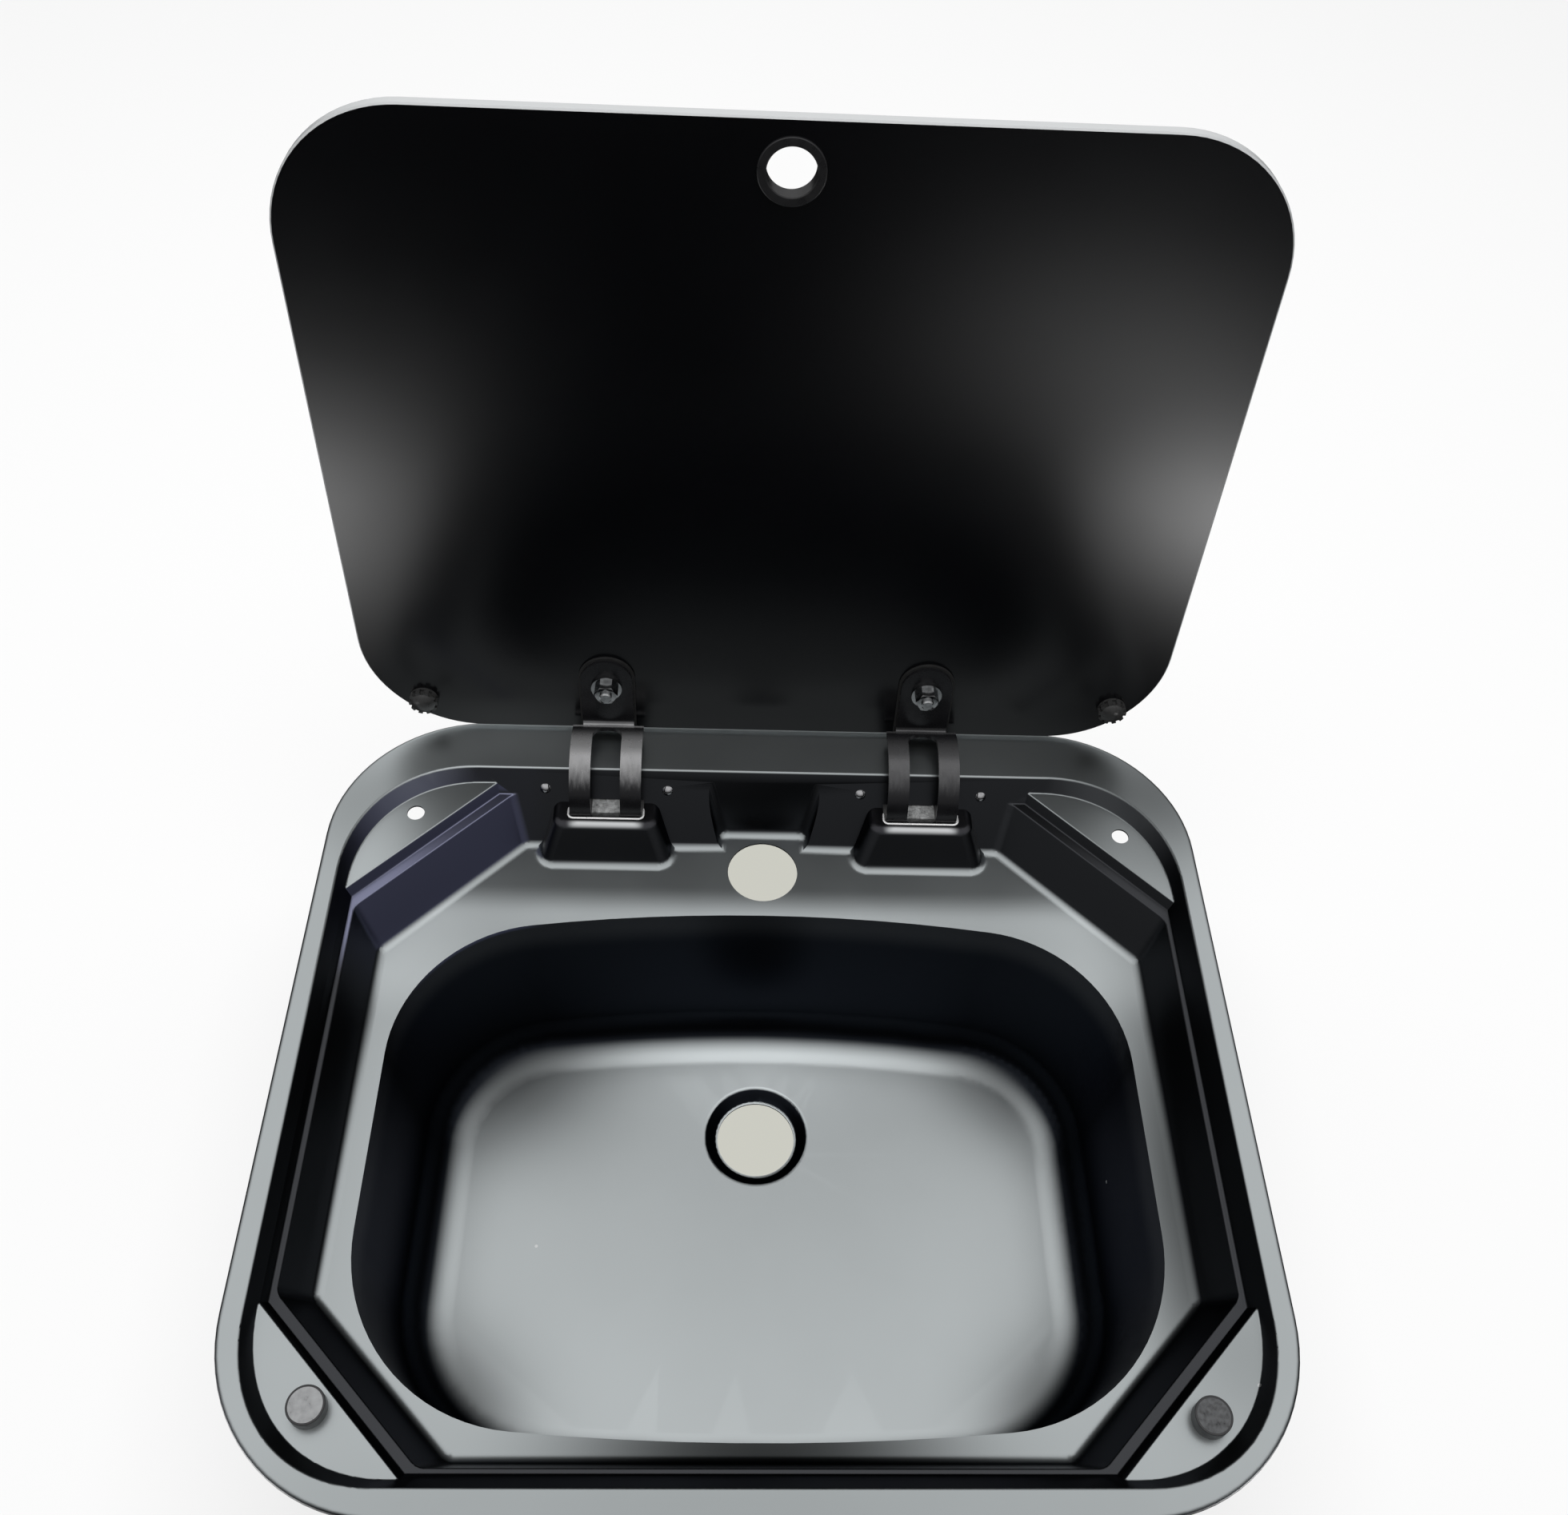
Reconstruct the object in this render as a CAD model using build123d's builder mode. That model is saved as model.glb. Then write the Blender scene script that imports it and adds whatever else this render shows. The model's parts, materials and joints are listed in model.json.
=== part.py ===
from build123d import *
import math
import os

# RV sink with a folding glass lid. Millimetres, +Z up, +X to the right, -Y to the front.
# The origin is the centre of the flange outline on the worktop plane.

os.makedirs("parts", exist_ok=True)

# --- pressing ---------------------------------------------------------------------------------
sheet = 0.9                    # steel sheet
flange_width = 420.0
flange_depth = 368.0
flange_height = 3.0            # flange top above the worktop
front_corner = 72.4            # flange corner radii, seen from above
rear_corner = 70.2
edge_roll = 2.6                # rounding of the turned-down flange edge

side_band = 9.3                # flange width from its edge to the recess
front_band = 10.5
rear_band = 29.2
mouth_front_corner = 68.0      # recess corners, measured square to their sloping edges
mouth_rear_corner = 68.0
side_draft = 26.0              # wall slopes from vertical, degrees
front_draft = 31.5
rear_draft = 32.7
mouth_round = 1.6              # rounding where the flange turns down into the recess

shelf_depth = 12.0             # all depths are measured down from the flange top
shelf_width = 2.0              # narrow step that runs round the recess
ledge_depth = 7.0              # corner ledges
ledge_draft = 30.0
ledge_front_cut = 91.0         # |x| + |y| from the flange's square corner to a ledge's straight edge
ledge_rear_cut = 110.4
well_front_cut = 101.0         # the same at the top of the well
well_rear_cut = 121.4
deck_depth = 35.0
deck_side_margin = 27.0        # margins are measured in from the flange's edges
deck_front_margin = 26.7
deck_front_cut = 115.4         # |x| + |y| from the flange's square corner to the deck's diagonals
deck_rear_cut = 142.0
deck_round = 5.5
well_corner = 8.0              # rounding of the well's upright corners
step_round = 1.0

# --- bowl -------------------------------------------------------------------------------------
bowl_side_margin = 37.5
bowl_front_middle_margin = 34.0    # front and back edges are bowed
bowl_front_side_margin = 46.3      # where the bowed edges would meet the straight sides
bowl_rear_middle_margin = 91.5
bowl_rear_side_margin = 109.8
bowl_front_corner = 80.0
bowl_rear_corner = 70.0
bowl_depth = 140.0
bowl_draft = 4.5
bowl_floor_round = 22.0
bowl_mouth_round = 3.2

drain_rear_margin = 160.0
drain_radius = 20.0
drain_dish_radius = 26.5
drain_dish_depth = 5.0
drain_dish_draft = 48.0
drain_dish_round = 2.0

tap_hole_radius = 17.5
tap_hole_rear_margin = 65.6
tap_relief_half_width = 31.0   # pocket in the back wall behind the tap, at its top
tap_relief_base_half_width = 22.5
tap_relief_base_margin = 42.5
tap_relief_top_depth = 5.0
tap_relief_corner = 6.0

# --- hinge boxes of the pressing --------------------------------------------------------------
hinge_offset = 79.0            # hinge centres, left and right of the middle
box_top_depth = 15.0
box_top_front_margin = 52.7    # from the flange's rear edge
box_top_half_width = 25.5
box_base_front_margin = 63.5
box_base_half_width = 33.0
box_corner = 7.0
box_round = 5.0
slot_front_margin = 48.7
slot_half_width = 18.7
slot_corner = 2.5
slot_clearance = 0.6           # above the knuckle, where the slot runs up the back wall

# --- ledge holes and feet ---------------------------------------------------------------------
ledge_hole_radius = 4.2
rear_hole_insets = {"left": (39.2, 53.2), "right": (33.2, 59.4)}    # in from the flange's edges
foot_insets = {"left": (39.2, 39.0), "right": (39.8, 36.2)}         # and not mirror images
foot_radius = 7.3
foot_height = 6.0
foot_rim = 0.8
foot_round = 0.36
foot_pad_recess = 0.8
foot_pad_step = 0.1            # pad below the rim
foot_stem_clearance = 0.15
foot_barb_radius = 5.2
foot_barb_length = 2.0

# --- lid --------------------------------------------------------------------------------------
lid_side_margin = 13.0         # the closed lid's edges, in from the flange's
lid_front_margin = 18.0
lid_rear_margin = 40.0
glass_corner = 55.0
glass_thickness = 6.0
glass_edge = 0.7               # ground edge
rest_clearance = 0.2           # between the closed lid's bumpers and the ledges
open_angle = 96.2
finger_hole_margin = 19.7      # from the lid's front edge
finger_hole_radius = 9.6
grommet_wall = 1.4
grommet_flange_radius = 13.2
grommet_flange = 1.1
grommet_round = 0.5

bumper_radius = 7.0
bumper_base = 1.2
bumper_crown = 2.0
bumper_groove = 1.2
bumper_teeth = 10
bumper_tooth_width = 2.2
bumper_insets = {"left": (27.0, 17.8), "right": (23.0, 21.3)}    # from the lid's side and rear edges

# --- hinge ------------------------------------------------------------------------------------
pivot_margin = 20.8            # in from the flange's rear edge
pivot_depth = 15.5
arm_radius = 26.0              # middle of the strap, about the pivot
strap = 1.8
arm_width = 35.4
arm_plate_width = 25.4
arm_plate_top = 47.0           # up the lid, to the plate's round top
arm_bolt_v = 31.0              # bolt position; v runs up the lid from its hinge edge
arm_bend = 1.9
arm_shoulder = 0.9             # from the strap's face to where it widens
arm_tail = 9.0                 # crossbar below the window
window_width = 14.6
window_start = 3.0             # along the strap, from the fold to the window's round top
window_corner = 7.0            # rounding of that top
window_foot = 1.6              # along the strap, from pivot height down to the window's lower end
window_foot_corner = 1.5
arm_gasket = 1.5
arm_gasket_margin = 1.1
gasket_start = 1.5             # from the glass's edge to the gasket

knuckle_width = 14.0
knuckle_hub_radius = 6.0
knuckle_top = 1.5              # bar faces, above and below the pivot
knuckle_bottom = 6.5
pin_radius = 2.5
pin_clearance = 0.05
bush_radius = 3.5
washer_thickness = 1.0
side_clearance = 0.1
bracket_sheet = 1.5
bracket_length = 72.0
bracket_height = 14.0
bracket_corner = 3.0
stop_gap = 0.3                 # from the open knuckle up to the bracket edge that stops it
cheek_radius = 6.5
pin_head_radius = 4.2
pin_head = 1.4
pin_tip = 1.0                  # beyond its clip
pin_groove = 0.5
clip_radius = 4.5
clip_thickness = 0.8
clip_margin = 0.2

rivet_depth = 9.2              # rivet line, down from the flange top
rivet_spread = 30.5            # rivets left and right of a hinge centre
rivet_radius = 1.6
rivet_head_radius = 2.6
rivet_head = 1.3
arm_rivet_spread = 4.0
arm_rivet_drop = 4.3           # below the pivot
arm_rivet_length = 4.0
arm_rivet_head_radius = 2.2
rivet_tail = 1.0
fastener_clearance = 0.05

guard_clearance = 1.0          # beyond the sweep of the arm rivets
guard_sheet = 1.0
guard_half_width = 23.4
guard_start_angle = 200.0      # degrees about the pivot, from the rear over the top
guard_end_angle = 292.0

bolt_radius = 3.0
bolt_hole_radius = 4.0
bolt_head_radius = 6.0
bolt_head = 2.6
bolt_tip = 2.0                 # thread beyond the nut
bolt_chamfer = 0.6
hex_key = 4.0
lid_washer_radius = 7.5
lid_washer = 1.5
nut_flats = 10.0
nut_height = 5.0
nut_chamfer = 0.5
clamp_disc_radius = 13.0
clamp_disc = 2.4
disc_gasket = 0.8
disc_gasket_radius = 12.0

# --- seal -------------------------------------------------------------------------------------
seal_width = 4.2
seal_margin = 2.0              # from the turned-down edge

# --- worked out from the sizes above ----------------------------------------------------------
def level(depth):
    """Height of a point that lies this far below the flange top."""
    return flange_height - depth


flange_side = flange_width / 2
flange_front = -flange_depth / 2
flange_rear = flange_depth / 2
mouth_half_width = flange_side - side_band
mouth_front = flange_front + front_band
mouth_rear = flange_rear - rear_band
square_corner = flange_side + flange_rear
ledge_front_line = square_corner - ledge_front_cut
ledge_rear_line = square_corner - ledge_rear_cut
well_front_line = square_corner - well_front_cut
well_rear_line = square_corner - well_rear_cut
deck_front_line = square_corner - deck_front_cut
deck_rear_line = square_corner - deck_rear_cut
deck_half_width = flange_side - deck_side_margin
deck_front = flange_front + deck_front_margin
bowl_half_width = flange_side - bowl_side_margin
bowl_front_middle = flange_front + bowl_front_middle_margin
bowl_front_side = flange_front + bowl_front_side_margin
bowl_rear_middle = flange_rear - bowl_rear_middle_margin
bowl_rear_side = flange_rear - bowl_rear_side_margin
drain_place = (0, flange_rear - drain_rear_margin)
tap_hole_y = flange_rear - tap_hole_rear_margin
tap_relief_base_y = flange_rear - tap_relief_base_margin
box_top_front = flange_rear - box_top_front_margin
box_base_front = flange_rear - box_base_front_margin
slot_front = flange_rear - slot_front_margin
glass_width = flange_width - 2 * lid_side_margin
glass_depth = flange_depth - lid_front_margin - lid_rear_margin
lid_rear_edge = flange_rear - lid_rear_margin
finger_hole_v = glass_depth - finger_hole_margin
pivot_y = flange_rear - pivot_margin
pivot_z = level(pivot_depth)


def back_wall(depth):
    """y of the recess's sloping back wall at a depth."""
    return mouth_rear - depth * math.tan(math.radians(rear_draft))


lid_under = level(ledge_depth) + foot_height + rest_clearance     # closed lid's lower face
swing = math.radians(open_angle)
up_lid = (-math.cos(swing), math.sin(swing))                      # unit vectors in (y, z)
off_lid = (-math.sin(swing), -math.cos(swing))                    # from the glass to the user
closed_y = lid_rear_edge - pivot_y
closed_z = lid_under - pivot_z
edge_y = pivot_y + closed_y * math.cos(swing) + closed_z * math.sin(swing)
edge_z = pivot_z - closed_y * math.sin(swing) + closed_z * math.cos(swing)
lid_plane = Plane(origin=(0, edge_y, edge_z), x_dir=(1, 0, 0), z_dir=(0, off_lid[0], off_lid[1]))


def lid_point(v, h):
    """World (y, z) of a point v up the lid and h off its inner face."""
    return (
        edge_y + v * up_lid[0] + h * off_lid[0],
        edge_z + v * up_lid[1] + h * off_lid[1],
    )


def pivot_point(radius, angle):
    """World (y, z) at a radius and angle about the pivot, in the plane across the hinge."""
    turn = math.radians(angle)
    return (pivot_y + radius * math.cos(turn), pivot_z + radius * math.sin(turn))


def export(piece, name):
    piece.label = name
    export_step(piece, "parts/" + name + ".step")


sides = {"left": -1, "right": 1}


# --- basin ------------------------------------------------------------------------------------
def tapered_block(top, top_z, low, low_z):
    """Solid between two polygons whose sides are parallel in pairs."""
    upper = [(x, y, top_z) for x, y in top]
    lower = [(x, y, low_z) for x, y in low]
    rings = [upper, lower]
    for start in range(len(top)):
        end = (start + 1) % len(top)
        rings.append([upper[start], upper[end], lower[end], lower[start]])
    return Solid(Shell([Face(Wire.make_polygon(ring)) for ring in rings]))


def four_corners(half_width, front, rear, centre=0.0):
    return [
        (centre - half_width, front),
        (centre + half_width, front),
        (centre + half_width, rear),
        (centre - half_width, rear),
    ]


def eight_corners(half_width, front, rear, front_line, rear_line):
    """Corners of a rectangle whose own corners are cut off along |x| + |y| = a line's value."""
    right = [
        (front_line + front, front),
        (half_width, half_width - front_line),
        (half_width, rear_line - half_width),
        (rear_line - rear, rear),
    ]
    return right + [(-x, y) for x, y in reversed(right)]


def side_wall(depth):
    """Half width of the recess at a depth."""
    return mouth_half_width - depth * math.tan(math.radians(side_draft))


def front_wall(depth):
    """y of the recess's front wall at a depth."""
    return mouth_front + depth * math.tan(math.radians(front_draft))


def mouth_section(depth, grow):
    return four_corners(side_wall(depth) + grow, front_wall(depth) - grow, back_wall(depth) + grow)


def ledge_section(depth, grow):
    """Section between the corner ledges."""
    run = (depth - ledge_depth) * math.tan(math.radians(ledge_draft)) * math.sqrt(2)
    return eight_corners(
        side_wall(depth) + grow,
        front_wall(depth) - grow,
        back_wall(depth) + grow,
        ledge_front_line - run + grow * math.sqrt(2),
        ledge_rear_line - run + grow * math.sqrt(2),
    )


def well_section(depth, grow):
    """Section of the well, from the narrow shelf down to the deck."""
    share = (depth - shelf_depth) / (deck_depth - shelf_depth)
    top_half = side_wall(shelf_depth) - shelf_width
    top_front = front_wall(shelf_depth) + shelf_width
    return eight_corners(
        top_half + (deck_half_width - top_half) * share + grow,
        top_front + (deck_front - top_front) * share - grow,
        back_wall(depth) + grow,
        well_front_line + (deck_front_line - well_front_line) * share + grow * math.sqrt(2),
        well_rear_line + (deck_rear_line - well_rear_line) * share + grow * math.sqrt(2),
    )


def slanted(edge):
    """True for an edge that runs down a wall."""
    return abs(edge.tangent_at(0.5).Z) > 0.2


def bowl_form(grow):
    """Inside of the bowl with its dished drain, moved out by grow."""
    side = bowl_half_width + grow
    near = bowl_front_side - grow
    far = bowl_rear_side + grow
    with BuildSketch() as outline:
        with BuildLine():
            ThreePointArc((-side, near), (0, bowl_front_middle - grow), (side, near))
            Line((side, near), (side, far))
            ThreePointArc((side, far), (0, bowl_rear_middle + grow), (-side, far))
            Line((-side, far), (-side, near))
        make_face()
        fillet(outline.vertices().group_by(Axis.Y)[0], bowl_front_corner + grow)
        fillet(outline.vertices().group_by(Axis.Y)[-1], bowl_rear_corner + grow)
    face = outline.sketch
    with BuildPart() as bowl:
        with BuildSketch(Plane.XY.offset(level(deck_depth))):
            add(face)
        extrude(amount=bowl_depth - deck_depth + grow, dir=(0, 0, -1), taper=bowl_draft)
        fillet(bowl.faces().sort_by(Axis.Z)[0].edges(), bowl_floor_round)
        with BuildSketch(Plane.XY.offset(level(bowl_depth) - grow)):
            with Locations(drain_place):
                Circle(drain_dish_radius + grow)
        extrude(amount=drain_dish_depth, dir=(0, 0, -1), taper=drain_dish_draft)
        fillet(bowl.faces().sort_by(Axis.Z)[0].edges(), drain_dish_round)
    return bowl.part


def hinge_box(centre, shrink):
    """Solid that fills a hinge box of the pressing, a sheet smaller all round for its hollow."""
    reach = mouth_rear + box_corner
    slope = (box_top_front - box_base_front) / (deck_depth - box_top_depth)
    flare = (box_base_half_width - box_top_half_width) / (deck_depth - box_top_depth)
    base_depth = deck_depth + box_corner
    rings = []
    for depth in (box_top_depth + shrink, base_depth + shrink):
        front = box_top_front - slope * (depth - box_top_depth) + shrink
        half = box_top_half_width + flare * (depth - box_top_depth) - shrink
        rings.append(four_corners(half, front, reach, centre))
    block = tapered_block(rings[0], level(box_top_depth) - shrink, rings[1], level(base_depth) - shrink)
    with BuildPart() as box:
        add(block)
        fillet(box.edges().filter_by(slanted).group_by(Axis.Y)[0], box_corner)
        rim = box.faces().sort_by(Axis.Z)[-1].edges()
        fillet(rim.sort_by(Axis.Y)[:-1], box_round)
    return box.part


def tap_relief(grow):
    """Wedge that sets the back wall further back behind the tap."""
    slope = (back_wall(tap_relief_top_depth) - tap_relief_base_y) / (deck_depth - tap_relief_top_depth)
    flare = (tap_relief_half_width - tap_relief_base_half_width) / (deck_depth - tap_relief_top_depth)
    rings = []
    for depth in (tap_relief_top_depth, deck_depth + grow):
        drop = depth - tap_relief_top_depth
        half = tap_relief_half_width - flare * drop + grow
        rear = back_wall(tap_relief_top_depth) - slope * drop + grow
        rings.append(four_corners(half, tap_hole_y, rear))
    with BuildPart() as relief:
        add(tapered_block(rings[0], level(tap_relief_top_depth), rings[1], level(deck_depth) - grow))
        fillet(relief.edges().filter_by(slanted).group_by(Axis.Y)[-1], tap_relief_corner)
    return relief.part


def pressed_form(grow):
    """Everything inside the pressing, from the flange top to the drain dish, moved out by grow."""
    ledge_z = level(ledge_depth) - grow
    shelf_z = level(shelf_depth) - grow
    deck_z = level(deck_depth) - grow
    recess = tapered_block(mouth_section(0, grow), level(0), mouth_section(deck_depth + grow, grow), deck_z)
    with BuildPart() as mouth:
        add(recess)
        corners = mouth.edges().filter_by(slanted)
        fillet(corners.group_by(Axis.Y)[0], mouth_front_corner)
        rear_corners = mouth.edges().filter_by(slanted).filter_by(GeomType.LINE).group_by(Axis.Y)[-1]
        fillet(rear_corners, mouth_rear_corner)
        split(bisect_by=Plane.XY.offset(ledge_z), keep=Keep.TOP)
    between_ledges = tapered_block(
        ledge_section(ledge_depth + grow, grow), ledge_z, ledge_section(shelf_depth + grow, grow), shelf_z
    )
    well = tapered_block(
        well_section(shelf_depth + grow, grow), shelf_z, well_section(deck_depth + grow, grow), deck_z
    )
    with BuildPart() as rounded_well:
        add(well)
        fillet(rounded_well.edges().filter_by(slanted), well_corner)
    relief = tap_relief(grow)
    bowl = bowl_form(grow)
    boxes = [hinge_box(side * hinge_offset, grow) for side in sides.values()]
    with BuildPart() as form:
        add(mouth.part)
        add(between_ledges)
        add(rounded_well.part)
        add(relief)
        add(boxes, mode=Mode.SUBTRACT)
        deck_edges = form.faces().filter_by(Axis.Z).sort_by(Axis.Z)[0].edges()
        fillet(deck_edges, deck_round)
        add(bowl)
        rims = form.faces().filter_by(Axis.Z).group_by(Axis.Z)
        bowl_rim = rims[1].sort_by(SortBy.AREA)[-1].inner_wires()[0].edges()
        fillet(bowl_rim, bowl_mouth_round)
        for floor in (ledge_z, shelf_z):
            step = form.edges().filter_by_position(Axis.Z, floor, floor)
            fillet(step, step_round)
    return form.part


def turned(origin, direction, profile):
    """Solid turned about a line: the profile's points are (radius, distance along the line)."""
    along = Vector(*direction)
    radial = Vector(0, 1, 0) if abs(along.X) > 0.5 else Vector(1, 0, 0)
    with BuildPart() as solid:
        with BuildSketch(Plane(origin=origin, x_dir=radial, z_dir=radial.cross(along))):
            with BuildLine():
                Polyline(*profile, close=True)
            make_face()
        revolve(axis=Axis(origin, direction))
    return solid.part


def dome(origin, direction, radius, height):
    """Round cap whose flat side lies on the origin."""
    along = Vector(*direction)
    ball = (radius**2 + height**2) / (2 * height)
    with BuildPart() as cap:
        with BuildSketch(Plane(origin=origin, x_dir=(1, 0, 0), z_dir=Vector(1, 0, 0).cross(along))):
            with BuildLine():
                Line((0, height), (0, 0))
                Line((0, 0), (radius, 0))
                RadiusArc((radius, 0), (0, height), -ball)
            make_face()
        revolve(axis=Axis(origin, direction))
    return cap.part


def rod(origin, direction, radius, start, end):
    """Plain cylinder between two distances along a line."""
    return turned(origin, direction, [(0, start), (radius, start), (radius, end), (0, end)])


def ring(origin, direction, inside, outside, start, end):
    return turned(origin, direction, [(inside, start), (outside, start), (outside, end), (inside, end)])


wall_out = (0, math.cos(math.radians(rear_draft)), -math.sin(math.radians(rear_draft)))
sheet_across_wall = sheet * math.cos(math.radians(rear_draft))
slot_top = pivot_z + knuckle_top + slot_clearance
rivet_points = [
    (side * hinge_offset + spread, back_wall(rivet_depth), level(rivet_depth))
    for side in sides.values()
    for spread in (-rivet_spread, rivet_spread)
]
rear_holes = {
    name: (sides[name] * (flange_side - inset), flange_rear - back)
    for name, (inset, back) in rear_hole_insets.items()
}
front_feet = {
    name: (sides[name] * (flange_side - inset), flange_front + ahead)
    for name, (inset, ahead) in foot_insets.items()
}
ledge_holes = [*rear_holes.values(), *front_feet.values()]

inner_form = pressed_form(0)
outer_form = pressed_form(sheet)
rivet_holes = [
    rod(point, wall_out, rivet_radius + fastener_clearance, -sheet, sheet + 2 * bracket_sheet)
    for point in rivet_points
]


def flange_outline():
    with BuildSketch() as outline:
        with BuildLine():
            Polyline(*four_corners(flange_side, flange_front, flange_rear), close=True)
        make_face()
        fillet(outline.vertices().group_by(Axis.Y)[0], front_corner)
        fillet(outline.vertices().group_by(Axis.Y)[-1], rear_corner)
    return outline.sketch


flange_face = flange_outline()

with BuildPart() as flange_hollow:
    with BuildSketch():
        add(flange_face)
        offset(amount=-sheet, mode=Mode.REPLACE)
    extrude(amount=flange_height - sheet)
    fillet(flange_hollow.faces().sort_by(Axis.Z)[-1].edges(), edge_roll - sheet)

with BuildPart() as basin:
    with BuildSketch():
        add(flange_face)
    extrude(amount=flange_height)
    fillet(basin.faces().sort_by(Axis.Z)[-1].edges(), edge_roll)
    add(flange_hollow.part, mode=Mode.SUBTRACT)
    add(outer_form)
    add(inner_form, mode=Mode.SUBTRACT)
    flange_top = basin.faces().filter_by(Axis.Z).sort_by(Axis.Z)[-1]
    fillet(flange_top.inner_wires()[0].edges(), mouth_round)
    with BuildSketch(Plane.XY.offset(level(bowl_depth + drain_dish_depth) - 2 * sheet)):
        with Locations(drain_place):
            Circle(drain_radius)
    extrude(amount=3 * sheet, mode=Mode.SUBTRACT)
    with BuildSketch(Plane.XY.offset(level(deck_depth) - 2 * sheet)):
        with Locations((0, tap_hole_y)):
            Circle(tap_hole_radius)
    extrude(amount=3 * sheet, mode=Mode.SUBTRACT)
    with BuildSketch(Plane.XY.offset(level(ledge_depth) - 2 * sheet)):
        with Locations(*ledge_holes):
            Circle(ledge_hole_radius)
    extrude(amount=3 * sheet, mode=Mode.SUBTRACT)
    with BuildSketch(Plane.XY.offset(slot_top)):
        for side in sides.values():
            with Locations((side * hinge_offset, (slot_front + mouth_rear) / 2)):
                RectangleRounded(2 * slot_half_width, mouth_rear - slot_front, slot_corner)
    extrude(amount=slot_top - level(box_top_depth) + 3 * sheet, dir=(0, 0, -1), mode=Mode.SUBTRACT)
    add(rivet_holes, mode=Mode.SUBTRACT)
export(basin.part, "basin")


# --- flange seal ------------------------------------------------------------------------------
with BuildPart() as flange_seal:
    with BuildSketch():
        add(flange_face)
        offset(amount=-sheet - seal_margin, mode=Mode.REPLACE)
        offset(amount=-seal_width, mode=Mode.SUBTRACT)
    extrude(amount=flange_height - sheet)
export(flange_seal.part, "flange_seal")


# --- front feet -------------------------------------------------------------------------------
for name, place in front_feet.items():
    ledge_top = (*place, level(ledge_depth))
    with BuildPart() as front_foot:
        add(rod(ledge_top, (0, 0, 1), foot_radius, 0, foot_height))
        rim = front_foot.faces().sort_by(Axis.Z)[-1].edges()
        fillet(rim, foot_round)
        add(
            rod(ledge_top, (0, 0, 1), foot_radius - foot_rim, foot_height - foot_pad_recess, foot_height),
            mode=Mode.SUBTRACT,
        )
        stem_radius = ledge_hole_radius - foot_stem_clearance
        barb_top = -sheet - foot_stem_clearance
        stem_profile = [
            (0, 0),
            (stem_radius, 0),
            (stem_radius, barb_top),
            (foot_barb_radius, barb_top),
            (stem_radius, barb_top - foot_barb_length),
            (0, barb_top - foot_barb_length),
        ]
        add(turned(ledge_top, (0, 0, 1), stem_profile))
    export(front_foot.part, "front_foot_" + name)

    with BuildPart() as foot_pad:
        pad_radius = foot_radius - foot_rim - fastener_clearance
        pad_top = foot_height - foot_pad_step
        add(rod(ledge_top, (0, 0, 1), pad_radius, foot_height - foot_pad_recess, pad_top))
    export(foot_pad.part, "foot_pad_" + name)


# --- hinge brackets, pins and washers ---------------------------------------------------------
cheek_inside = knuckle_width / 2 + washer_thickness + 2 * side_clearance
cheek_outside = cheek_inside + bracket_sheet
wall_back_y = back_wall(rivet_depth) + sheet
wall_down = (0, -math.sin(math.radians(rear_draft)), -math.cos(math.radians(rear_draft)))
rivet_z = level(rivet_depth)
stop_drop = rivet_z - (pivot_z + knuckle_top + stop_gap) + bracket_sheet * wall_out[2]
notch_start = stop_drop / -wall_down[2]


def bracket_point(down, out):
    """World (y, z) of a point down the back wall and behind it, from the rivet line."""
    return (
        wall_back_y + down * wall_down[1] + out * wall_out[1],
        rivet_z + down * wall_down[2] + out * wall_out[2],
    )


def cheek(x):
    """One ear of a bracket, from the plate round the pin."""
    foot = [
        bracket_point(-bracket_height / 2, 0),
        bracket_point(notch_start, 0),
        bracket_point(notch_start, bracket_sheet),
        bracket_point(-bracket_height / 2, bracket_sheet),
    ]
    with BuildPart() as ear:
        with BuildSketch(Plane.YZ.offset(x)) as side_view:
            with BuildLine():
                Polyline(*foot, close=True)
            make_face()
            with Locations((pivot_y, pivot_z)):
                Circle(cheek_radius)
            make_hull()
        extrude(amount=bracket_sheet)
    return ear.part


for name, side in sides.items():
    centre = side * hinge_offset
    pivot = (centre, pivot_y, pivot_z)
    outward = (side, 0, 0)
    back_plane = Plane(origin=(centre, wall_back_y, rivet_z), x_dir=(1, 0, 0), z_dir=wall_out)
    cheeks = [cheek(centre + cheek_inside), cheek(centre - cheek_outside)]
    bore = rod(pivot, outward, pin_radius + fastener_clearance, -2 * cheek_outside, 2 * cheek_outside)
    with BuildPart() as hinge_bracket:
        with BuildSketch(back_plane):
            RectangleRounded(bracket_length, bracket_height, bracket_corner)
            with Locations((0, notch_start + bracket_height / 2)):
                Rectangle(2 * slot_half_width, bracket_height, mode=Mode.SUBTRACT)
        extrude(amount=bracket_sheet)
        add(cheeks)
        add(bore, mode=Mode.SUBTRACT)
        add(rivet_holes, mode=Mode.SUBTRACT)
    export(hinge_bracket.part, "hinge_bracket_" + name)

    groove_radius = pin_radius - pin_groove
    clip_inner = cheek_outside + clip_margin
    clip_outer = clip_inner + clip_thickness
    pin_profile = [
        (0, cheek_outside + pin_head),
        (pin_head_radius, cheek_outside + pin_head),
        (pin_head_radius, cheek_outside + fastener_clearance),
        (pin_radius, cheek_outside + fastener_clearance),
        (pin_radius, -clip_inner + fastener_clearance),
        (groove_radius, -clip_inner + fastener_clearance),
        (groove_radius, -clip_outer - fastener_clearance),
        (pin_radius, -clip_outer - fastener_clearance),
        (pin_radius, -clip_outer - pin_tip),
        (0, -clip_outer - pin_tip),
    ]
    with BuildPart() as hinge_pin:
        add(turned(pivot, outward, pin_profile))
    export(hinge_pin.part, "hinge_pin_" + name)

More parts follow.
